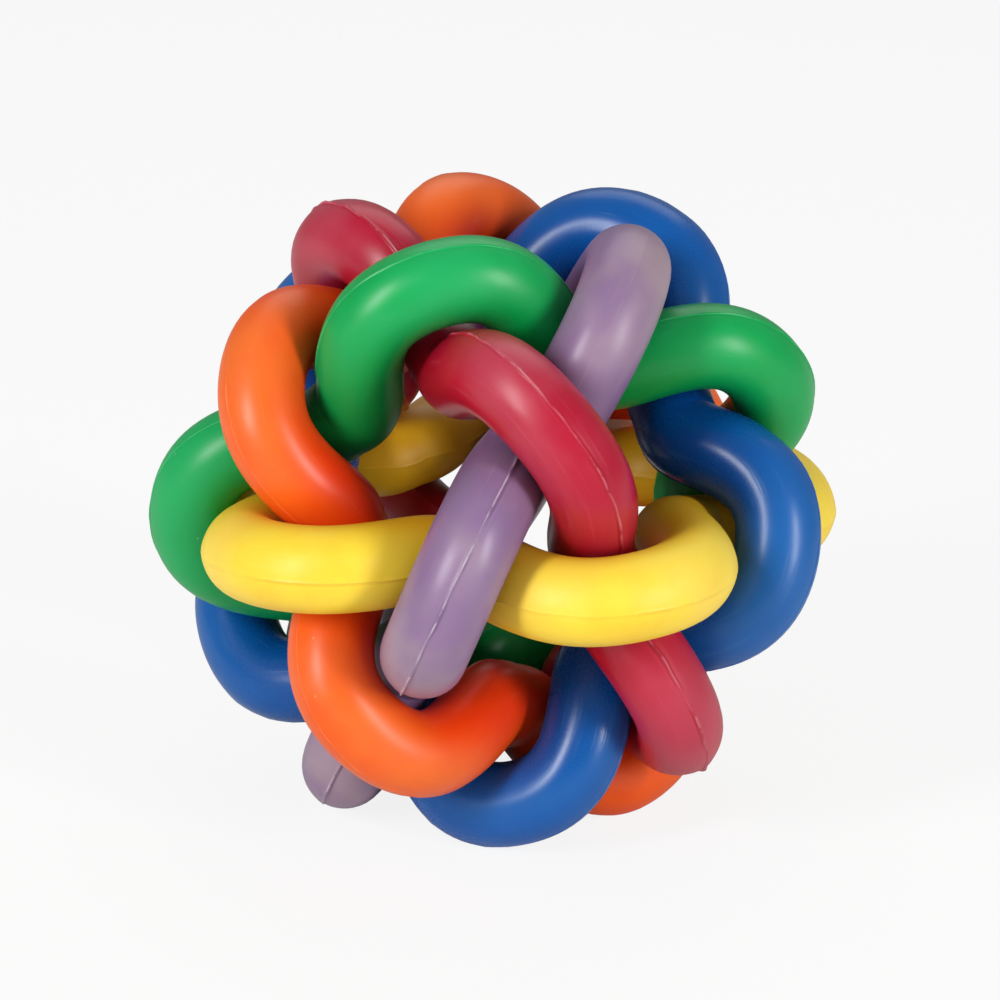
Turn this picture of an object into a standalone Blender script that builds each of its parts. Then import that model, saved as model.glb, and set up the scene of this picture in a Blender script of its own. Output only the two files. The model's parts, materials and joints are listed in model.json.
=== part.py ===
"""Woven ball of six rubber rings, in metres, +Z up.

Each ring is one moulding: a round rubber cord closed on itself, waved in and out five times on its way
round. At its five crests it passes over a neighbour and at its five troughs it passes under one, so that
the six rings lock each other and nothing else holds the ball together. One ring lies level round the
waist. The axes of the other five lean evenly round it, along the diagonals of an icosahedron.

The ball stands on five crests, one of each leaning ring, which the weight of the ball presses flat. The
origin lies on that plane, under the middle of the ball.
"""

import math

import bmesh
import bpy
from mathutils import Matrix, Vector

MM = 0.001

# Driving dimensions.
BALL_DIAMETER = 100.0 * MM  # over the crests
CORD_DIAMETER = 12.2 * MM  # the rubber cord of a ring
WAVES = 5  # crests of one ring, and troughs
WAVE_HEIGHT = 7.84 * MM  # of the first harmonic, each way from the mean radius
CREST_FULLNESS = 0.75 * MM  # second harmonic, which broadens the crests
TROUGH_FLATNESS = -0.72 * MM  # third harmonic, which makes the troughs follow a circle
SIDE_SWAY = 1.18 * MM  # how far the cord swerves out of the ring's plane to clear its neighbours
CREST_LEAN = math.radians(3.1)  # how far the flanks of a wave are drawn round towards its trough
REST_FLAT = 0.4 * MM  # how deep the weight of the ball flattens the crests that it stands on

# An icosahedron's diagonals stand at this angle to each other.
RING_TILT = math.atan(2.0)
CREST_PHASE = math.radians(18.0)  # from a leaning ring's lowest line to its nearest crest

# How finely the cord is faceted.
POINTS_PER_WAVE = 20
BEVEL_RESOLUTION = 4  # which gives the cord 12 sides

MEAN_RADIUS = (BALL_DIAMETER - CORD_DIAMETER) / 2 - WAVE_HEIGHT - CREST_FULLNESS - TROUGH_FLATNESS

# Name, the direction in which its axis leans in degrees, or None for the level ring, and its colour.
RINGS = (
    ("yellow_ring", None, (0.950, 0.660, 0.040)),
    ("red_ring", 18.0, (0.440, 0.006, 0.030)),
    ("green_ring", 90.0, (0.002, 0.350, 0.075)),
    ("purple_ring", 162.0, (0.270, 0.165, 0.310)),
    ("blue_ring", 234.0, (0.003, 0.093, 0.360)),
    ("orange_ring", 306.0, (0.840, 0.115, 0.006)),
)


def clear_scene():
    """Removes every object that the file opened with."""
    for obj in list(bpy.data.objects):
        bpy.data.objects.remove(obj)


def rubber(name, colour):
    """The satin rubber of one ring."""
    material = bpy.data.materials.new(name)
    material.use_nodes = True
    shader = material.node_tree.nodes["Principled BSDF"]
    shader.inputs["Base Color"].default_value = (*colour, 1.0)
    shader.inputs["Roughness"].default_value = 0.42
    shader.inputs["Metallic"].default_value = 0.0
    return material


def centreline_point(turn):
    """The middle of the cord at one angle round a ring, in the ring's own frame. A crest is at angle 0."""
    wave = WAVES * turn
    radius = (
        MEAN_RADIUS
        + WAVE_HEIGHT * math.cos(wave)
        + CREST_FULLNESS * math.cos(2 * wave)
        + TROUGH_FLATNESS * math.cos(3 * wave)
    )
    around = turn + CREST_LEAN * math.sin(wave)
    return Vector((radius * math.cos(around), radius * math.sin(around), SIDE_SWAY * math.sin(wave)))


def ring_mesh():
    """The waved cord as one closed mesh, swept round a closed curve."""
    count = WAVES * POINTS_PER_WAVE
    curve = bpy.data.curves.new("ring_centreline", "CURVE")
    curve.dimensions = "3D"
    curve.twist_mode = "Z_UP"
    curve.bevel_depth = CORD_DIAMETER / 2
    curve.bevel_resolution = BEVEL_RESOLUTION
    spline = curve.splines.new("POLY")
    spline.points.add(count - 1)
    for index, point in enumerate(spline.points):
        point.co = (*centreline_point(2 * math.pi * index / count), 1.0)
    spline.use_cyclic_u = True
    guide = bpy.data.objects.new("ring_centreline", curve)
    mesh = bpy.data.meshes.new_from_object(guide)
    bpy.data.objects.remove(guide)
    bpy.data.curves.remove(curve)
    mesh.name = "ring"
    return mesh


def ring_frame(lean_direction):
    """How a ring is turned from lying level: tilted by the icosahedron's angle towards lean_direction."""
    if lean_direction is None:
        return Matrix.Identity(4)
    return (
        Matrix.Rotation(math.radians(lean_direction), 4, "Z")
        @ Matrix.Rotation(RING_TILT, 4, "Y")
        @ Matrix.Rotation(CREST_PHASE, 4, "Z")
    )


def lowest_point(mesh, frame):
    """How far below the ball's centre a ring reaches."""
    return min((frame @ vertex.co).z for vertex in mesh.vertices)


def press_flat(mesh, frame, height):
    """Cuts a ring level at a height below the ball's centre and closes the cut with a flat face."""
    to_ring = frame.inverted()
    down = to_ring.to_3x3() @ Vector((0.0, 0.0, -1.0))
    plane_point = to_ring @ Vector((0.0, 0.0, height))
    work = bmesh.new()
    work.from_mesh(mesh)
    cut = bmesh.ops.bisect_plane(
        work,
        geom=work.verts[:] + work.edges[:] + work.faces[:],
        plane_co=plane_point,
        plane_no=down,
        clear_outer=True,
    )
    rim = [item for item in cut["geom_cut"] if isinstance(item, bmesh.types.BMEdge)]
    bmesh.ops.contextual_create(work, geom=rim)
    work.to_mesh(mesh)
    work.free()


def add_ring(name, mesh, frame, centre, colour):
    """Places one ring's moulding in the ball, with its origin on its own axis."""
    mesh.shade_smooth()
    mesh.set_sharp_from_angle(angle=math.radians(40))
    ring = bpy.data.objects.new(name, mesh)
    bpy.context.collection.objects.link(ring)
    ring.parent = centre
    ring.matrix_local = frame
    mesh.materials.append(rubber(name.replace("ring", "rubber"), colour))


def main():
    clear_scene()
    moulding = ring_mesh()
    leaning = ring_frame(RINGS[1][1])
    floor = lowest_point(moulding, leaning) + REST_FLAT

    centre = bpy.data.objects.new("ball_centre", None)
    bpy.context.collection.objects.link(centre)
    centre.location = (0.0, 0.0, -floor)

    for name, lean_direction, colour in RINGS:
        frame = ring_frame(lean_direction)
        mesh = moulding.copy()
        if lean_direction is not None:
            press_flat(mesh, frame, floor)
        add_ring(name, mesh, frame, centre, colour)
    bpy.data.meshes.remove(moulding)


main()
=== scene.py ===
"""Looks of a hollow ball woven from six moulded rubber rings.

Each ring is one waved loop of thick round rubber cord, coloured right through. Two mould halves
left a fine raised line along the outside and the inside of every loop, rubbed away where a
neighbour presses on it. The ball stands on five crests in a plain white studio, lit by two tall
softboxes in front of it and a broad one behind.
"""

from __future__ import annotations

import json
import logging
import math
from dataclasses import dataclass
from enum import Enum
from typing import Any, Mapping, Optional, Union

import bmesh
import bpy
from mathutils import Euler, Matrix, Vector, noise

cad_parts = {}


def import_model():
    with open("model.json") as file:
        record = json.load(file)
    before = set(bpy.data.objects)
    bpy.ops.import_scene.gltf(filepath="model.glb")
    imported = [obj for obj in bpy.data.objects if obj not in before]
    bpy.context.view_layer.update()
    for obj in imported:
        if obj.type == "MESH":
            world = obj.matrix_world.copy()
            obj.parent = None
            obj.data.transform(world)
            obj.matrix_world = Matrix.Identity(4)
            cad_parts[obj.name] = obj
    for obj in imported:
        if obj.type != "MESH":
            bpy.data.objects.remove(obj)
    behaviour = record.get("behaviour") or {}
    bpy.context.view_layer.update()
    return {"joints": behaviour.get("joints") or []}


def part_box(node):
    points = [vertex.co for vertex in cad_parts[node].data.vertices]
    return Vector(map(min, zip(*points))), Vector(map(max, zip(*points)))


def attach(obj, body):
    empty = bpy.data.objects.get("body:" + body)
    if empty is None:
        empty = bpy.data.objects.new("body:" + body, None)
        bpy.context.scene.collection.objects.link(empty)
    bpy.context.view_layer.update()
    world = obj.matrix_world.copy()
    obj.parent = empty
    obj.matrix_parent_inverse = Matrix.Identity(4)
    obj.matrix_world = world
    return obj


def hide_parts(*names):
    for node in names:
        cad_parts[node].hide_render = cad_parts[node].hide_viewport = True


LOG = logging.getLogger("woven_ball")

MM = 0.001
WAVES = 5  # crests of one ring, and troughs
CORD_MAP = "cord_map"  # UV map: once round the ring along U, once round the cord along V
FLASH_LEFT = "flash_left"  # attribute: how much of the mould line's flash is left at a point
SEED_SHIFT = 50  # how far a ring's seed moves the noise that its mould line is torn by

# Sockets of a Mix node that blends two colours.
MIX_FACTOR = 0
MIX_BELOW = 6
MIX_ABOVE = 7
MIX_RESULT = 2

Colour = tuple[float, float, float]
Number = Union[float, "Signal"]


class MouldSide(Enum):
    """The two sides of a ring that a mould line runs along, by the phase of the waves there."""

    OUTSIDE = 0.0
    INSIDE = math.pi


class Ring(Enum):
    """The six rings, by the names of their solids."""

    YELLOW = "yellow_ring"
    RED = "red_ring"
    GREEN = "green_ring"
    PURPLE = "purple_ring"
    BLUE = "blue_ring"
    ORANGE = "orange_ring"


# --- Shader graphs -------------------------------------------------------------------------------


@dataclass(frozen=True)
class Mottle:
    """A random pattern of soft spots.

    Attributes:
        size: How far apart the spots lie.
        detail: How many finer layers are laid over them.
        rough: How strongly those layers show.
        edge: Value of the noise where a spot begins, where the pattern is cut to spots.
        core: Value of the noise where a spot is at its fullest.
    """

    size: float
    detail: float = 2.0
    rough: float = 0.5
    edge: float = 0.0
    core: float = 1.0


class ShaderGraph:
    """The nodes of one material."""

    def __init__(self, name: str) -> None:
        """Starts an empty node tree.

        Args:
            name: The material's name.
        """
        self.material = bpy.data.materials.new(name)
        self.material.use_nodes = True
        self.tree = self.material.node_tree
        self.tree.nodes.clear()

    def node(
        self,
        kind: str,
        settings: Optional[Mapping[str, Any]] = None,
        inputs: Optional[Mapping[Union[str, int], Any]] = None,
    ) -> bpy.types.Node:
        """Adds one node.

        Args:
            kind: The node's type, such as ShaderNodeMath.
            settings: Properties of the node, set before its sockets are filled.
            inputs: What goes into each socket, by name or number: a value, a socket or a Signal.

        Returns:
            The new node.
        """
        made = self.tree.nodes.new(kind)
        for key, value in (settings or {}).items():
            setattr(made, key, value)
        for key, value in (inputs or {}).items():
            if isinstance(value, Signal):
                value = value.socket
            if isinstance(value, bpy.types.NodeSocket):
                self.tree.links.new(value, made.inputs[key])
            else:
                made.inputs[key].default_value = value
        return made

    def math(self, operation: str, *values: Number) -> Signal:
        """Works out one number per point of the surface.

        Args:
            operation: The Math node's operation.
            values: Its one or two operands.

        Returns:
            The result.
        """
        made = self.node("ShaderNodeMath", {"operation": operation}, dict(enumerate(values)))
        return Signal(self, made.outputs[0])

    def step(self, value: Number, low: float, high: float) -> Signal:
        """A smooth rise from 0 at low to 1 at high, or a fall where high is below low.

        Args:
            value: What is measured.
            low: Where the result is 0.
            high: Where the result is 1.

        Returns:
            The result, between 0 and 1.
        """
        start, end = min(low, high), max(low, high)
        made = self.node(
            "ShaderNodeMapRange",
            {"interpolation_type": "SMOOTHSTEP"},
            {"Value": value, "From Min": start, "From Max": end},
        )
        rise = Signal(self, made.outputs["Result"])
        return rise if low < high else 1 - rise

    def split(self, vector: bpy.types.NodeSocket) -> tuple[Signal, ...]:
        """Takes a vector or a colour apart.

        Args:
            vector: Its socket.

        Returns:
            Its three numbers.
        """
        parts = self.node("ShaderNodeSeparateXYZ", None, {0: vector}).outputs
        return tuple(Signal(self, part) for part in parts)

    def join(self, *parts: Number) -> bpy.types.NodeSocket:
        """Puts three numbers together.

        Args:
            parts: The three numbers.

        Returns:
            The vector's socket.
        """
        return self.node("ShaderNodeCombineXYZ", None, dict(enumerate(parts))).outputs[0]

    def noise(self, where: bpy.types.NodeSocket, mottle: Mottle) -> Signal:
        """Random noise.

        Args:
            where: The coordinates that the noise is fixed to.
            mottle: Its pattern.

        Returns:
            A number around 0.5.
        """
        inputs = {
            "Vector": where,
            "Scale": 1 / mottle.size,
            "Detail": mottle.detail,
            "Roughness": mottle.rough,
        }
        return Signal(self, self.node("ShaderNodeTexNoise", None, inputs).outputs[0])

    def spots(self, where: bpy.types.NodeSocket, mottle: Mottle) -> Signal:
        """Random spots, cut from noise.

        Args:
            where: The coordinates that the spots are fixed to.
            mottle: Their pattern.

        Returns:
            1 in the middle of a spot, 0 between the spots.
        """
        return self.step(self.noise(where, mottle), mottle.edge, mottle.core)

    def tint(self, factor: Number, below: Any, above: Any) -> bpy.types.NodeSocket:
        """Blends two colours.

        Args:
            factor: 0 for the first colour, 1 for the second.
            below: The first colour, or its socket.
            above: The second colour, or its socket.

        Returns:
            The blended colour's socket.
        """
        colours = {MIX_BELOW: opaque(below), MIX_ABOVE: opaque(above), MIX_FACTOR: factor}
        return self.node("ShaderNodeMix", {"data_type": "RGBA"}, colours).outputs[MIX_RESULT]


class Signal:
    """A number that a socket gives for each point of a surface, for use in Python expressions."""

    def __init__(self, graph: ShaderGraph, socket: bpy.types.NodeSocket) -> None:
        """Wraps a socket.

        Args:
            graph: The graph that it belongs to.
            socket: The socket.
        """
        self.graph = graph
        self.socket = socket

    def __add__(self, other: Number) -> Signal:
        """Sum."""
        return self.graph.math("ADD", self, other)

    def __radd__(self, other: Number) -> Signal:
        """Sum, with the number first."""
        return self.graph.math("ADD", other, self)

    def __sub__(self, other: Number) -> Signal:
        """Difference."""
        return self.graph.math("SUBTRACT", self, other)

    def __rsub__(self, other: Number) -> Signal:
        """Difference, with the number first."""
        return self.graph.math("SUBTRACT", other, self)

    def __mul__(self, other: Number) -> Signal:
        """Product."""
        return self.graph.math("MULTIPLY", self, other)

    def __rmul__(self, other: Number) -> Signal:
        """Product, with the number first."""
        return self.graph.math("MULTIPLY", other, self)

    def cosine(self) -> Signal:
        """Cosine of an angle in radians."""
        return self.graph.math("COSINE", self)

    def sine(self) -> Signal:
        """Sine of an angle in radians."""
        return self.graph.math("SINE", self)


def grey(level: float) -> tuple[float, float, float, float]:
    """An opaque grey, from 0 for black to 1 for white."""
    return (level, level, level, 1.0)


def opaque(colour: Any) -> Any:
    """Gives a colour its fourth number.

    Args:
        colour: Three numbers, or a socket, which is left as it is.

    Returns:
        What a colour socket takes.
    """
    return (*colour, 1.0) if isinstance(colour, tuple) else colour


# --- Rubber --------------------------------------------------------------------------------------


@dataclass(frozen=True)
class Rubber:
    """One batch of coloured, moulded rubber.

    Attributes:
        slot: The record's material slot.
        body: Colour of clean rubber.
        deep: Colour of its darker blotches, and of the painted shade on the cord's inside, in
        the troughs and beside the mould line's step.
        bloom_and_sheen: Colour of the pale film that old rubber gets, also laid as a painted
        sheen on proud parts.
        bloom_and_sheen_cover: How much of the surface the film and its painted sheen hide where
        they are thickest, 0 to 1.
        line: Colour of the mould line.
        line_cover: How strongly the line and the painted shade beside its step show, 0 to 1.
        roughness: Of a clean, handled surface.
        scuff: How strongly scuffs along the cord show, 0 to 1.
        seed: Shifts the random pattern, so that no two rings match.
    """

    slot: str
    body: Colour
    deep: Colour
    bloom_and_sheen: Colour
    bloom_and_sheen_cover: float
    line: Colour
    line_cover: float
    roughness: float
    scuff: float
    seed: float

    SHINE = 0.37  # of clean rubber, as its specular level

    # What lies all over the rubber: the mould's fine grain, long hollows, and darker blotches.
    GRAIN = Mottle(0.40 * MM, detail=3.0, rough=0.6)
    GRAIN_HEIGHT = 0.003 * MM
    GRAIN_ROUGHNESS = 0.06
    HOLLOWS = Mottle(11.0 * MM, detail=1.0)
    HOLLOW_DEPTH = 0.10 * MM
    BLOTCHES = Mottle(9.0 * MM, detail=4.0, rough=0.55, edge=0.38, core=0.74)
    BLOTCH_COVER = 0.3
    BLOTCH_ROUGHNESS = 0.03

    # Pale film lies in patches on what stands proud. It is partly the bloom of old rubber and
    # partly a painted sheen where proud parts face the lamps. Painted shade darkens the cord's
    # inside and the troughs. Both parts are found from the wave and the side of the cord, as
    # _on_wave tells.
    FILM_AND_SHEEN_PATCHES = Mottle(22.0 * MM, detail=3.0, edge=0.40, core=0.66)
    FILM_ROUGHNESS = 0.20
    PROUD_LIT_WAVE = 0.6
    PROUD_LIT_BAND = (0.15, 0.95)
    PAINTED_SHADE_WAVE = 0.5
    PAINTED_SHADE_BAND = (0.72, -0.15)
    PAINTED_SHADE_COVER = 0.85

    # Scuffs run along the cord.
    SCUFFS = Mottle(9.0 * MM, edge=0.60, core=0.74)
    SCUFF_WIDTH = 0.8 * MM
    SCUFF_DEPTH = 0.03 * MM
    SCUFF_COVER = 0.5
    SCUFF_ROUGHNESS = 0.25

    # Nicks and flecks.
    SPECK_SPACING = 3.2 * MM
    SPECK_SIZE = 0.08  # of the spacing
    SPECK_RARITY = (0.94, 0.97)  # band of the random numbers over which a cell gets its speck
    SPECK_DEPTH = 0.02 * MM
    SPECK_COVER = 0.5

    # The mould line's edge, and the painted shade beside its step.
    LINE_WIDTH = 0.0045  # of one turn round the cord
    LINE_CORE = 0.3  # of the line's width, where it shows fully
    FOOT_OFFSET = 1.8  # widths of the line
    HALF_WAY = 0.25  # from one line to the next, of one turn round the cord
    LINE_KEPT = Mottle(4.0 * MM, detail=3.0, rough=0.7, edge=0.42, core=0.54)

    # The plain loop that the scuffs are drawn on.
    LOOP_RADIUS = 46.0 * MM
    CORD_GIRTH = 38.3 * MM

    def material(self) -> bpy.types.Material:
        """Builds the rubber's material.

        Returns:
            The material, whose patterns are fixed to the ring.
        """
        graph = ShaderGraph(self.slot)
        place = self._place(graph)
        cord = graph.node("ShaderNodeUVMap", {"uv_map": CORD_MAP}).outputs[0]
        along, across = graph.split(cord)[:2]
        turn = along * (2 * math.pi)

        crest = (turn * WAVES).cosine()
        outside = (across * (2 * math.pi)).cosine()
        # What stands proud and faces the lamps gets the pale film and a painted sheen.
        proud_lit = self._on_wave(graph, crest, outside, self.PROUD_LIT_WAVE, self.PROUD_LIT_BAND)
        # Painted shade, darker towards the troughs and the inside of the cord.
        painted_shade = self._on_wave(graph, crest, outside, self.PAINTED_SHADE_WAVE, self.PAINTED_SHADE_BAND)
        grain = graph.noise(place, self.GRAIN)
        hollows = graph.noise(place, self.HOLLOWS)
        blotch = graph.spots(place, self.BLOTCHES)
        film_and_sheen = proud_lit * graph.spots(place, self.FILM_AND_SHEEN_PATCHES) * self.bloom_and_sheen_cover
        marks = self._mould_line(graph, across, place)
        line, painted_step_shade = (mark * self.line_cover for mark in marks)
        scuffs = self._scuffs(graph, turn, across) * self.scuff
        specks = self._specks(graph, place)

        colour = graph.tint(blotch * self.BLOTCH_COVER, self.body, self.deep)
        # Painted shade: the deep colour laid on the troughs and the cord's inside.
        colour = graph.tint(painted_shade * self.PAINTED_SHADE_COVER, colour, self.deep)
        # Pale film, partly the bloom of old rubber and partly a painted sheen on proud parts.
        colour = graph.tint(film_and_sheen, colour, self.bloom_and_sheen)
        colour = graph.tint(scuffs * self.SCUFF_COVER, colour, self.bloom_and_sheen)
        # Painted shade in a thin band beside the mould line's step.
        colour = graph.tint(painted_step_shade, colour, self.deep)
        colour = graph.tint(line, colour, self.line)
        colour = graph.tint(specks * self.SPECK_COVER, colour, self.line)

        roughness = self.roughness + (grain - 0.5) * self.GRAIN_ROUGHNESS
        roughness = roughness + blotch * self.BLOTCH_ROUGHNESS
        roughness = roughness + film_and_sheen * self.FILM_ROUGHNESS + scuffs * self.SCUFF_ROUGHNESS
        height = (grain - 0.5) * self.GRAIN_HEIGHT + (hollows - 0.5) * self.HOLLOW_DEPTH
        height = height - specks * self.SPECK_DEPTH - scuffs * self.SCUFF_DEPTH
        relief = {"Strength": 1.0, "Distance": 1.0, "Height": height}
        bump = graph.node("ShaderNodeBump", None, relief)
        surface = {
            "Base Color": colour,
            "Roughness": roughness,
            "Specular IOR Level": self.SHINE,
            "Normal": bump.outputs[0],
        }
        shader = graph.node("ShaderNodeBsdfPrincipled", None, surface)
        graph.node("ShaderNodeOutputMaterial", None, {"Surface": shader.outputs[0]})
        return graph.material

    def _place(self, graph: ShaderGraph) -> bpy.types.NodeSocket:
        """Coordinates fixed to the ring, moved along by the batch's seed.

        Args:
            graph: The rubber's graph.

        Returns:
            The coordinates' socket.
        """
        from_object = graph.node("ShaderNodeTexCoord").outputs["Object"]
        shift = (self.seed, 0.7 * self.seed, -self.seed)
        moved = graph.node("ShaderNodeMapping", None, {"Vector": from_object, "Location": shift})
        return moved.outputs[0]

    def _on_wave(
        self,
        graph: ShaderGraph,
        crest: Signal,
        outside: Signal,
        wave_share: float,
        band: tuple[float, float],
    ) -> Signal:
        """How far a place belongs to one part of the waves.

        Args:
            graph: The rubber's graph.
            crest: 1 at a crest, -1 at a trough.
            outside: 1 on the outside of the cord, -1 on its inside.
            wave_share: How much the wave counts. The side of the cord counts for the rest.
            band: What the two make together where the part begins and where it is reached.

        Returns:
            1 in that part, 0 away from it.
        """
        return graph.step(crest * wave_share + outside * (1 - wave_share), *band)

    def _mould_line(
        self, graph: ShaderGraph, across: Signal, place: bpy.types.NodeSocket
    ) -> tuple[Signal, Signal]:
        """Where the mould line's edge and the painted step shade show, broken where flash is torn.

        Args:
            graph: The rubber's graph.
            across: The place round the cord, from 0 to 1, with the lines at 0, 0.5 and 1.
            place: The coordinates of the random pattern.

        Returns:
            1 on the edge and 1 in the painted shade beside the step, 0 away from them.
        """
        attribute = graph.node("ShaderNodeAttribute", {"attribute_name": FLASH_LEFT})
        left = Signal(graph, attribute.outputs["Fac"])
        kept = graph.spots(place, self.LINE_KEPT) * left
        edge, step_shade = (
            graph.step(
                graph.math("PINGPONG", across + 1.0 + shift, self.HALF_WAY),
                self.LINE_WIDTH,
                self.LINE_WIDTH * self.LINE_CORE,
            )
            for shift in (0.0, self.LINE_WIDTH * self.FOOT_OFFSET)
        )
        return edge * kept, step_shade * left

    def _scuffs(self, graph: ShaderGraph, turn: Signal, across: Signal) -> Signal:
        """Faint scuffs that run along the cord.

        Args:
            graph: The rubber's graph.
            turn: The angle round the ring.
            across: The place round the cord, from 0 to 1.

        Returns:
            1 in a scuff, 0 elsewhere.
        """
        stretched = self.CORD_GIRTH * self.SCUFFS.size / self.SCUFF_WIDTH
        place = graph.join(
            turn.cosine() * self.LOOP_RADIUS,
            turn.sine() * self.LOOP_RADIUS,
            across * stretched + self.seed,
        )
        return graph.spots(place, self.SCUFFS)

    def _specks(self, graph: ShaderGraph, place: bpy.types.NodeSocket) -> Signal:
        """Small nicks and flecks, one here and there.

        Args:
            graph: The rubber's graph.
            place: The coordinates of the random pattern.

        Returns:
            1 in a speck, 0 elsewhere.
        """
        grid = {"Vector": place, "Scale": 1 / self.SPECK_SPACING}
        cells = graph.node("ShaderNodeTexVoronoi", None, grid)
        rare = graph.step(graph.split(cells.outputs["Color"])[0], *self.SPECK_RARITY)
        middle = Signal(graph, cells.outputs["Distance"])
        return graph.step(middle, self.SPECK_SIZE, self.SPECK_SIZE * 0.5) * rare


BATCHES: Mapping[Ring, Rubber] = {
    Ring.YELLOW: Rubber(
        "yellow_rubber",
        body=(0.97, 0.70, 0.045), deep=(0.90, 0.44, 0.008),
        bloom_and_sheen=(0.97, 0.80, 0.22), bloom_and_sheen_cover=0.25,
        line=(0.62, 0.43, 0.07), line_cover=0.22,
        roughness=0.42, scuff=0.12, seed=0.11,
    ),
    Ring.RED: Rubber(
        "red_rubber",
        body=(0.45, 0.005, 0.030), deep=(0.36, 0.002, 0.015),
        bloom_and_sheen=(0.56, 0.10, 0.15), bloom_and_sheen_cover=0.38,
        line=(0.70, 0.20, 0.26), line_cover=0.45,
        roughness=0.29, scuff=0.35, seed=0.23,
    ),
    Ring.GREEN: Rubber(
        "green_rubber",
        body=(0.001, 0.37, 0.080), deep=(0.0005, 0.28, 0.050),
        bloom_and_sheen=(0.035, 0.45, 0.19), bloom_and_sheen_cover=0.22,
        line=(0.16, 0.52, 0.26), line_cover=0.20,
        roughness=0.34, scuff=0.15, seed=0.37,
    ),
    Ring.PURPLE: Rubber(
        "purple_rubber",
        body=(0.26, 0.155, 0.30), deep=(0.21, 0.115, 0.25),
        bloom_and_sheen=(0.43, 0.33, 0.34), bloom_and_sheen_cover=0.70,
        line=(0.66, 0.58, 0.68), line_cover=0.65,
        roughness=0.31, scuff=0.25, seed=0.41,
    ),
    Ring.BLUE: Rubber(
        "blue_rubber",
        body=(0.002, 0.094, 0.37), deep=(0.001, 0.060, 0.28),
        bloom_and_sheen=(0.035, 0.17, 0.43), bloom_and_sheen_cover=0.28,
        line=(0.22, 0.36, 0.58), line_cover=0.30,
        roughness=0.27, scuff=0.40, seed=0.53,
    ),
    Ring.ORANGE: Rubber(
        "orange_rubber",
        body=(0.88, 0.112, 0.006), deep=(0.82, 0.030, 0.002),
        bloom_and_sheen=(0.86, 0.26, 0.055), bloom_and_sheen_cover=0.32,
        line=(0.90, 0.38, 0.17), line_cover=0.28,
        roughness=0.34, scuff=0.15, seed=0.67,
    ),
}


# --- Rings ---------------------------------------------------------------------------------------


def held(value: float, low: float, high: float) -> float:
    """Holds a value within its range."""
    return min(high, max(low, value))


@dataclass(frozen=True)
class CordRoute:
    """The way of the cord's middle round a ring, in the ring's own frame, with a crest at angle 0.

    Attributes:
        crest_radius: From the ring's axis to the outside of a crest.
        cord_radius: Of the round cord.
        ease: How much thinner the cord is drawn, so that the rings turn without touching.
        wave_height: Of the first harmonic, each way from the mean radius.
        crest_fullness: Second harmonic, which broadens the crests.
        trough_flatness: Third harmonic, which makes the troughs follow a circle.
        side_sway: How far the cord swerves out of the ring's plane to clear its neighbours.
        crest_lean: How far the flanks of a wave are drawn round towards its trough.
    """

    crest_radius: float
    cord_radius: float = 6.1 * MM
    ease: float = 0.06 * MM
    wave_height: float = 7.84 * MM
    crest_fullness: float = 0.75 * MM
    trough_flatness: float = -0.72 * MM
    side_sway: float = 1.18 * MM
    crest_lean: float = math.radians(3.1)

    @property
    def mean_radius(self) -> float:
        """Radius that the cord waves about."""
        middle_at_crest = self.crest_radius - self.cord_radius
        return middle_at_crest - self.wave_height - self.crest_fullness - self.trough_flatness

    def middle(self, turn: float) -> Vector:
        """The middle of the cord.

        Args:
            turn: The angle round the ring.

        Returns:
            The point in the ring's frame.
        """
        wave = WAVES * turn
        radius = (
            self.mean_radius
            + self.wave_height * math.cos(wave)
            + self.crest_fullness * math.cos(2 * wave)
            + self.trough_flatness * math.cos(3 * wave)
        )
        around = turn + self.crest_lean * math.sin(wave)
        sideways = self.side_sway * math.sin(wave)
        return Vector((radius * math.cos(around), radius * math.sin(around), sideways))

    def section(self, turn: float) -> tuple[Vector, Vector]:
        """The two directions that a cross-section of the cord lies in.

        Args:
            turn: The angle round the ring.

        Returns:
            The way out of the ring, level in its plane, and the way up beside it.
        """
        small_turn = 1e-4
        ahead = (self.middle(turn + small_turn) - self.middle(turn - small_turn)).normalized()
        outward = ahead.cross(Vector((0.0, 0.0, 1.0))).normalized()
        return outward, outward.cross(ahead).normalized()


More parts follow.
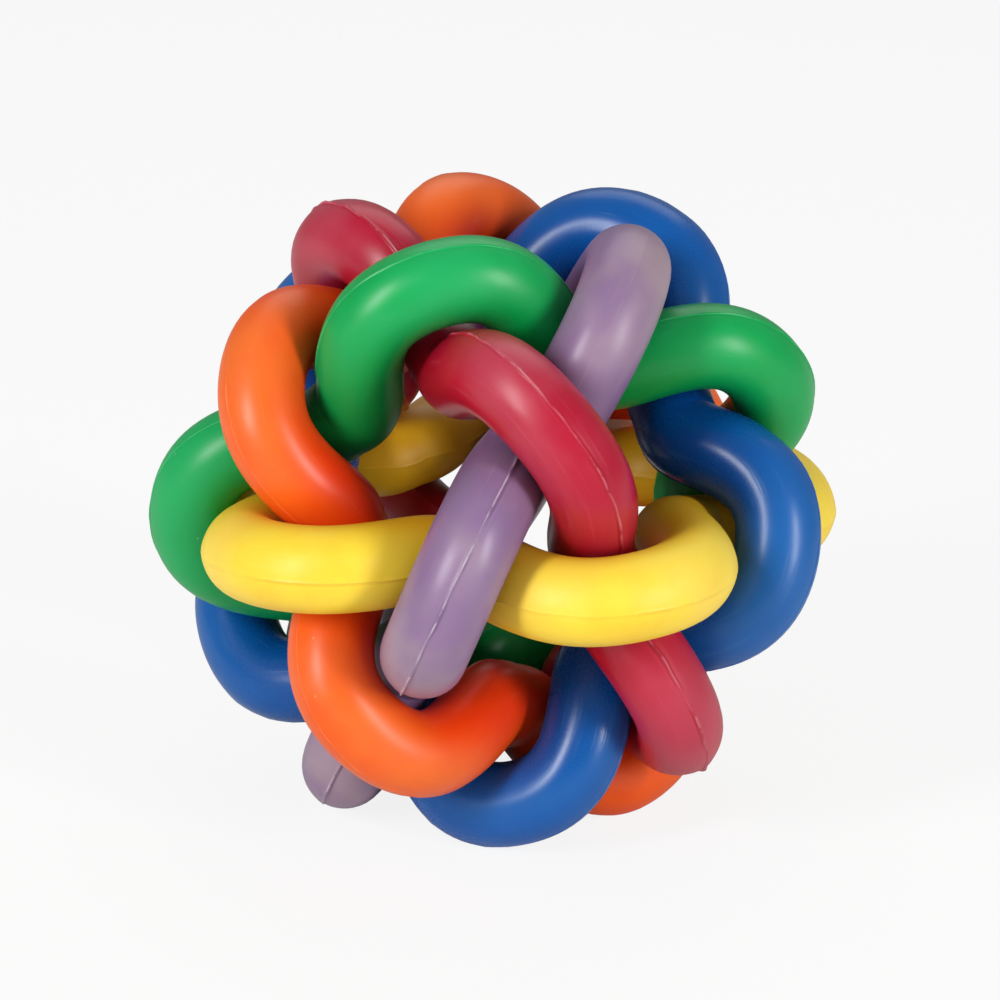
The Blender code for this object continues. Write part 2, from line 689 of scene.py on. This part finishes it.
@dataclass(frozen=True)
class MouldLine:
    """The raised line that two mould halves leave along the outside and the inside of a ring.

    Attributes:
        height: Of the sharp flash.
        keel: Height of the broad swelling under it.
        width: Of the flash, as an angle round the cord.
        keel_width: Of the swelling, as an angle round the cord.
        mismatch: Step between the two halves.
        mismatch_width: How far the step runs out, as an angle round the cord.
        ragged: Length over which the flash changes, as an angle round the ring.
        stray: How far the line usually strays to each side, as an angle round the cord.
        pared_at: Where the outside line was pared off, as an angle round the ring, or None.
        pared_over: How far to each side the paring reaches, as an angle round the ring.
    """

    height: float = 0.26 * MM
    keel: float = 0.12 * MM
    width: float = 0.030
    keel_width: float = 0.26
    mismatch: float = 0.05 * MM
    mismatch_width: float = 0.20
    ragged: float = 0.10
    stray: float = 0.012
    pared_at: Optional[float] = None
    pared_over: float = math.radians(26.0)

    # Where on a wave, from 0 beside a neighbour to 1 farthest from it, the line begins, and how
    # soon it reaches its full height.
    BEGINS = 0.32
    RISES_OVER = 0.30

    # What paring leaves, where its edge begins, and how steeply the line rises there.
    PARED_LEFT = 0.06
    PARED_EDGE = 0.85
    PARED_RISE = 4

    # How high the flash usually stands, how far tears change that, the share of the fine tears and
    # how much finer they are, and the range of it all.
    FLASH_MEAN = 0.75
    TEARS = 1.5
    FINE_TEARS = 0.6
    FINENESS = 4
    FLASH_RANGE = (0.05, 1.35)

    def flash(self, turn: float, side: MouldSide, seed: float) -> tuple[float, float]:
        """How well the line is kept, where a neighbour rubs it away and where it is torn.

        Args:
            turn: The angle round the ring.
            side: Outside or inside of the ring.
            seed: Shifts the ragged flash.

        Returns:
            How much of the line's swelling and of its flash is left.
        """
        free = 0.5 + 0.5 * math.cos(WAVES * turn + side.value)
        free = held((free - self.BEGINS) / self.RISES_OVER, 0.0, 1.0)
        free *= free * (3 - 2 * free)
        if self.pared_at is not None and side is MouldSide.OUTSIDE:
            away = abs(math.remainder(turn - self.pared_at, 2 * math.pi)) / self.pared_over
            free *= held(self.PARED_RISE * (away - self.PARED_EDGE), self.PARED_LEFT, 1.0)
        spot = Vector((math.cos(turn), math.sin(turn), side.value)) / self.ragged
        spot += Vector((SEED_SHIFT * seed, 0.0, 0.0))
        fine = noise.noise(self.FINENESS * spot)
        torn = noise.noise(spot) + self.FINE_TEARS * fine
        return free, free * held(self.FLASH_MEAN + self.TEARS * torn, *self.FLASH_RANGE)

    def straying(self, turn: float, seed: float) -> float:
        """How far the line lies from its true place, as the two mould halves met.

        Args:
            turn: The angle round the ring.
            seed: Shifts the pattern.

        Returns:
            The shift, as an angle round the cord.
        """
        spot = Vector((math.cos(turn), math.sin(turn), 0.0)) * (2 / self.ragged)
        spot += Vector((0.0, SEED_SHIFT * seed, 0.0))
        return self.stray * 2 * noise.noise(spot)

    def swelling(self, from_line: float, swell: float, flash: float) -> float:
        """How much further out the surface lies than the round cord.

        Args:
            from_line: The angle round the cord, measured from the line.
            swell: How much of the swelling is left there.
            flash: How much of the flash is left there.

        Returns:
            The extra radius.
        """
        sharp = self.height * flash * math.exp(-((from_line / self.width) ** 2))
        broad = self.keel * math.exp(-((from_line / self.keel_width) ** 2))
        step = self.mismatch * math.exp(-abs(from_line) / self.mismatch_width)
        return sharp + swell * (broad + math.copysign(step, from_line))


MOULD_LINES: Mapping[Ring, MouldLine] = {
    Ring.YELLOW: MouldLine(height=0.10 * MM, keel=0.14 * MM, mismatch=0.025 * MM),
    Ring.RED: MouldLine(
        height=0.26 * MM, keel=0.22 * MM, mismatch=0.08 * MM, ragged=0.06, stray=0.02
    ),
    Ring.GREEN: MouldLine(height=0.11 * MM, keel=0.06 * MM),
    Ring.PURPLE: MouldLine(
        height=0.24 * MM, keel=0.08 * MM, mismatch=0.08 * MM, pared_at=math.radians(133.0)
    ),
    Ring.BLUE: MouldLine(height=0.10 * MM, keel=0.05 * MM),
    Ring.ORANGE: MouldLine(height=0.08 * MM, keel=0.04 * MM),
}


@dataclass
class WovenRing:
    """One ring of the ball.

    Attributes:
        ring: Which ring it is.
        frame: Where it lies in the ball.
        route: The way of its cord.
        line: Its mould line.
        floor: Height of the surface that presses its lowest crests flat.
        cord_sides: Points round the cord.
        cord_steps: Points round the ring.
        crowding: How closely the points gather at the mould line, from 0 to 1.
    """

    ring: Ring
    frame: Matrix
    route: CordRoute
    line: MouldLine
    floor: float = 0.0
    cord_sides: int = 64
    cord_steps: int = 400
    crowding: float = 0.85

    def build(self) -> bpy.types.Object:
        """Models the ring, dresses it and joins it to its body.

        Returns:
            The ring's object.
        """
        rubber = BATCHES[self.ring]
        work = bmesh.new()
        self._spin_plain_loop(work)
        work.verts.index_update()
        places = self._places_on_loop(work)
        self._lay_out_map(work, places)
        self._wave(work, places, rubber.seed)
        self._press_on_floor(work)
        bmesh.ops.recalc_face_normals(work, faces=work.faces[:])
        if work.calc_volume(signed=True) < 0:
            bmesh.ops.reverse_faces(work, faces=work.faces[:])
        mesh = bpy.data.meshes.new(f"{self.ring.value}_moulding")
        work.to_mesh(mesh)
        work.free()
        mesh.shade_smooth()
        mesh.materials.append(rubber.material())
        piece = bpy.data.objects.new(f"{self.ring.value}_moulding", mesh)
        bpy.context.scene.collection.objects.link(piece)
        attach(piece, self.ring.value)
        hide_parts(self.ring.value)
        return piece

    def _spin_plain_loop(self, work: bmesh.types.BMesh) -> None:
        """Makes a plain round loop of cord, with its points gathered at the mould lines.

        Args:
            work: The mesh to build in.
        """
        beside_axis = Matrix.Translation((self.route.mean_radius, 0.0, 0.0))
        upright = beside_axis @ Matrix.Rotation(math.pi / 2, 4, "X")
        bmesh.ops.create_circle(
            work,
            cap_ends=False,
            segments=self.cord_sides,
            radius=self.route.cord_radius,
            matrix=upright,
        )
        for vertex in work.verts:
            offset = vertex.co - upright.translation
            around = math.atan2(offset.z, offset.x)
            around -= 0.5 * self.crowding * math.sin(2 * around)
            direction = Vector((math.cos(around), 0.0, math.sin(around)))
            vertex.co = upright.translation + direction * self.route.cord_radius
        bmesh.ops.spin(
            work,
            geom=work.verts[:] + work.edges[:],
            cent=(0.0, 0.0, 0.0),
            axis=(0.0, 0.0, 1.0),
            angle=2 * math.pi,
            steps=self.cord_steps,
            use_merge=True,
            use_duplicate=False,
        )

    def _places_on_loop(self, work: bmesh.types.BMesh) -> list[tuple[float, float]]:
        """Where the points of the plain loop lie.

        Args:
            work: The plain loop.

        Returns:
            Each point's angle round the ring and its angle round the cord.
        """
        mean = self.route.mean_radius
        return [
            (
                math.atan2(vertex.co.y, vertex.co.x),
                math.atan2(vertex.co.z, vertex.co.xy.length - mean),
            )
            for vertex in work.verts
        ]

    def _lay_out_map(self, work: bmesh.types.BMesh, places: list[tuple[float, float]]) -> None:
        """Lays the cord's surface out flat: along the ring in U, and round the cord in V.

        Args:
            work: The loop.
            places: Each point's angles.
        """
        layout = work.loops.layers.uv.new(CORD_MAP)
        full = 2 * math.pi
        for face in work.faces:
            corners = [places[vertex.index] for vertex in face.verts]
            along = [angles[0] / full % 1.0 for angles in corners]
            across = [angles[1] / full % 1.0 for angles in corners]
            for values in (along, across):
                if max(values) - min(values) > 0.5:
                    values[:] = [value + 1.0 if value < 0.5 else value for value in values]
            for loop, u, v in zip(face.loops, along, across):
                loop[layout].uv = (u, v)

    def _wave(
        self, work: bmesh.types.BMesh, places: list[tuple[float, float]], seed: float
    ) -> None:
        """Bends the plain loop to the ring's waves, and raises its mould lines.

        Args:
            work: The plain loop.
            places: Each point's angles.
            seed: Shifts the ragged flash.
        """
        route = self.route
        flash_left = work.verts.layers.float.new(FLASH_LEFT)
        sections: dict[int, tuple[Any, ...]] = {}
        for vertex, (turn, around) in zip(work.verts, places):
            step = round(turn * self.cord_steps / (2 * math.pi)) % self.cord_steps
            if step not in sections:
                kept = {side: self.line.flash(turn, side, seed) for side in MouldSide}
                stray = self.line.straying(turn, seed)
                sections[step] = (route.middle(turn), *route.section(turn), kept, stray)
            middle, outward, upward, kept, stray = sections[step]
            side = MouldSide.OUTSIDE if math.cos(around) > 0 else MouldSide.INSIDE
            from_line = math.remainder(around - side.value, 2 * math.pi)
            radius = route.cord_radius - route.ease + self.line.swelling(from_line, *kept[side])
            vertex[flash_left] = kept[side][1]
            lies = around + stray
            offset = outward * math.cos(lies) + upward * math.sin(lies)
            vertex.co = self.frame @ (middle + offset * radius)

    def _press_on_floor(self, work: bmesh.types.BMesh) -> None:
        """Flattens what the ball's weight presses on the floor.

        Args:
            work: The waved ring, in its place.
        """
        for vertex in work.verts:
            vertex.co.z = max(vertex.co.z, self.floor)


@dataclass
class WovenBall:
    """The whole ball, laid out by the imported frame.

    Attributes:
        joints: The frame's joints, which give each leaning ring's axis.
        crest_phase: From a leaning ring's lowest line to its nearest crest.
    """

    joints: list[dict[str, Any]]
    crest_phase: float = math.radians(18.0)

    @property
    def centre(self) -> Vector:
        """The ball's middle, where all the rings' axes meet."""
        return Vector(self.joints[0]["pos_m"])

    @property
    def crest_radius(self) -> float:
        """From the middle to the outside of a crest. The level ring has one on +X."""
        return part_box(Ring.YELLOW.value)[1].x

    def ring_frame(self, ring: Ring) -> Matrix:
        """Where a ring lies.

        Args:
            ring: The ring.

        Returns:
            Its frame: its axis along Z and a crest on X.
        """
        axes = {joint["child"]: Vector(joint["axis"]) for joint in self.joints}
        if ring.value not in axes:
            return Matrix.Translation(self.centre)
        axis = axes[ring.value].normalized()
        tilt = Euler((0.0, math.acos(axis.z), math.atan2(axis.y, axis.x))).to_matrix().to_4x4()
        return Matrix.Translation(self.centre) @ tilt @ Matrix.Rotation(self.crest_phase, 4, "Z")

    def build(self) -> None:
        """Builds all six rings."""
        route = CordRoute(self.crest_radius)
        for ring in Ring:
            piece = WovenRing(ring, self.ring_frame(ring), route, MOULD_LINES[ring]).build()
            LOG.info("%s: %d faces", piece.name, len(piece.data.polygons))


# --- Studio --------------------------------------------------------------------------------------


@dataclass(frozen=True)
class Softbox:
    """A lamp with a broad diffusing front, aimed at the ball.

    Attributes:
        name: The lamp's name.
        azimuth: Its direction in degrees, 0 in front of the ball and positive to the right.
        elevation: Its height as an angle in degrees.
        width: Of its front.
        height: Of its front.
        power: In watts.
        distance: From the ball's middle.
    """

    name: str
    azimuth: float
    elevation: float
    width: float
    height: float
    power: float
    distance: float = 1.0

    def light(self, target: Vector) -> None:
        """Adds the lamp.

        Args:
            target: The point that it is aimed at.
        """
        lamp = bpy.data.lights.new(self.name, "AREA")
        lamp.shape = "RECTANGLE"
        lamp.size = self.width
        lamp.size_y = self.height
        lamp.energy = self.power
        holder = bpy.data.objects.new(self.name, lamp)
        holder.matrix_world = aim(target, self.azimuth, self.elevation, self.distance)
        bpy.context.scene.collection.objects.link(holder)


def aim(
    target: Vector, azimuth: float, elevation: float, distance: float, roll: float = 0.0
) -> Matrix:
    """Where something stands that looks at a point.

    Args:
        target: The point.
        azimuth: Direction that it stands in, in degrees, 0 in front and positive to the right.
        elevation: Its height as an angle in degrees.
        distance: From the point.
        roll: Turn about the line of sight, in degrees.

    Returns:
        Its matrix, looking along its own -Z.
    """
    turned = (
        Matrix.Rotation(math.radians(azimuth), 4, "Z")
        @ Matrix.Rotation(math.radians(90.0 - elevation), 4, "X")
        @ Matrix.Rotation(math.radians(roll), 4, "Z")
    )
    return Matrix.Translation(target) @ turned @ Matrix.Translation((0.0, 0.0, distance))


@dataclass
class Studio:
    """White surroundings, three softboxes and the camera.

    Attributes:
        target: The ball's middle.
        softboxes: The lamps: two tall ones in front, and a broad one behind and above.
        ambient: Strength of the light from all round.
        paper: How light the floor's paper is.
        paper_glow: Share of pure white that the camera sees in the paper.
        floor_size: Of the white floor.
        floor_gap: How far the floor lies below the ball, so that their faces don't meet.
    """

    target: Vector
    softboxes: tuple[Softbox, ...] = (
        Softbox("left_softbox", azimuth=-54.0, elevation=23.0, width=0.18, height=0.50, power=6.6),
        Softbox("right_softbox", azimuth=38.0, elevation=17.0, width=0.14, height=0.50, power=5.5),
        Softbox("back_softbox", azimuth=165.0, elevation=50.0, width=0.80, height=0.60, power=2.0),
    )
    ambient: float = 0.25
    paper: float = 0.88
    paper_glow: float = 0.86
    floor_size: float = 6.0
    floor_gap: float = 0.2 * MM

    # The camera's place, with its angles in degrees, its lens and sensor in millimetres, and where
    # the ball's middle lies on the picture, in pixels from its top left corner.
    CAMERA_AZIMUTH = -10.2
    CAMERA_ELEVATION = 17.4
    CAMERA_ROLL = 2.1
    CAMERA_DISTANCE = 556.5 * MM
    NEAREST_SEEN = 10.0 * MM
    FOCAL_LENGTH = 138.3
    SENSOR = 36.0
    PICTURE_SIZE = 1000.0
    BALL_ON_PICTURE = (495.5, 503.9)

    def build(self) -> None:
        """Sets up everything round the ball."""
        self._add_floor()
        self._light_surroundings()
        for softbox in self.softboxes:
            softbox.light(self.target)
        self._add_camera()
        bpy.context.scene.view_settings.view_transform = "Standard"

    def _add_floor(self) -> None:
        """Lays the white floor, which keeps the ball's shadow."""
        work = bmesh.new()
        bmesh.ops.create_grid(
            work,
            x_segments=1,
            y_segments=1,
            size=self.floor_size / 2,
            matrix=Matrix.Translation((0.0, 0.0, -self.floor_gap)),
        )
        mesh = bpy.data.meshes.new("studio_floor")
        work.to_mesh(mesh)
        work.free()
        graph = ShaderGraph("white_paper")
        paper = graph.node("ShaderNodeBsdfDiffuse", None, {"Color": grey(self.paper)})
        glow = graph.node("ShaderNodeEmission", None, {"Color": grey(1.0), "Strength": 1.0})
        rays = graph.node("ShaderNodeLightPath")
        seen = Signal(graph, rays.outputs["Is Camera Ray"]) * self.paper_glow
        layers = {0: seen, 1: paper.outputs[0], 2: glow.outputs[0]}
        mixed = graph.node("ShaderNodeMixShader", None, layers)
        graph.node("ShaderNodeOutputMaterial", None, {"Surface": mixed.outputs[0]})
        mesh.materials.append(graph.material)
        floor = bpy.data.objects.new("studio_floor", mesh)
        bpy.context.scene.collection.objects.link(floor)

    def _light_surroundings(self) -> None:
        """Lights the ball evenly from all round, and shows pure white to the camera."""
        world = bpy.data.worlds.new("white_surroundings")
        bpy.context.scene.world = world
        world.use_nodes = True
        tree = world.node_tree
        background = tree.nodes["Background"]
        background.inputs["Color"].default_value = grey(1.0)
        rays = tree.nodes.new("ShaderNodeLightPath")
        strength = tree.nodes.new("ShaderNodeMapRange")
        strength.inputs["To Min"].default_value = self.ambient
        strength.inputs["To Max"].default_value = 1.0
        tree.links.new(rays.outputs["Is Camera Ray"], strength.inputs["Value"])
        tree.links.new(strength.outputs["Result"], background.inputs["Strength"])

    def _add_camera(self) -> None:
        """Puts the camera in front of the ball and frames the ball in its picture."""
        lens = bpy.data.cameras.new("camera")
        lens.sensor_width = self.SENSOR
        lens.lens = self.FOCAL_LENGTH
        across, down = self.BALL_ON_PICTURE
        lens.shift_x = 0.5 - across / self.PICTURE_SIZE
        lens.shift_y = down / self.PICTURE_SIZE - 0.5
        lens.clip_start = self.NEAREST_SEEN
        camera = bpy.data.objects.new("camera", lens)
        camera.matrix_world = aim(
            self.target,
            self.CAMERA_AZIMUTH,
            self.CAMERA_ELEVATION,
            self.CAMERA_DISTANCE,
            self.CAMERA_ROLL,
        )
        bpy.context.scene.collection.objects.link(camera)
        bpy.context.scene.camera = camera


def main() -> None:
    """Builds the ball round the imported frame, and the studio round the ball."""
    logging.basicConfig(level=logging.INFO, format="%(name)s: %(message)s")
    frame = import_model()
    ball = WovenBall(frame["joints"])
    ball.build()
    Studio(ball.centre).build()


if __name__ == "__main__":
    main()
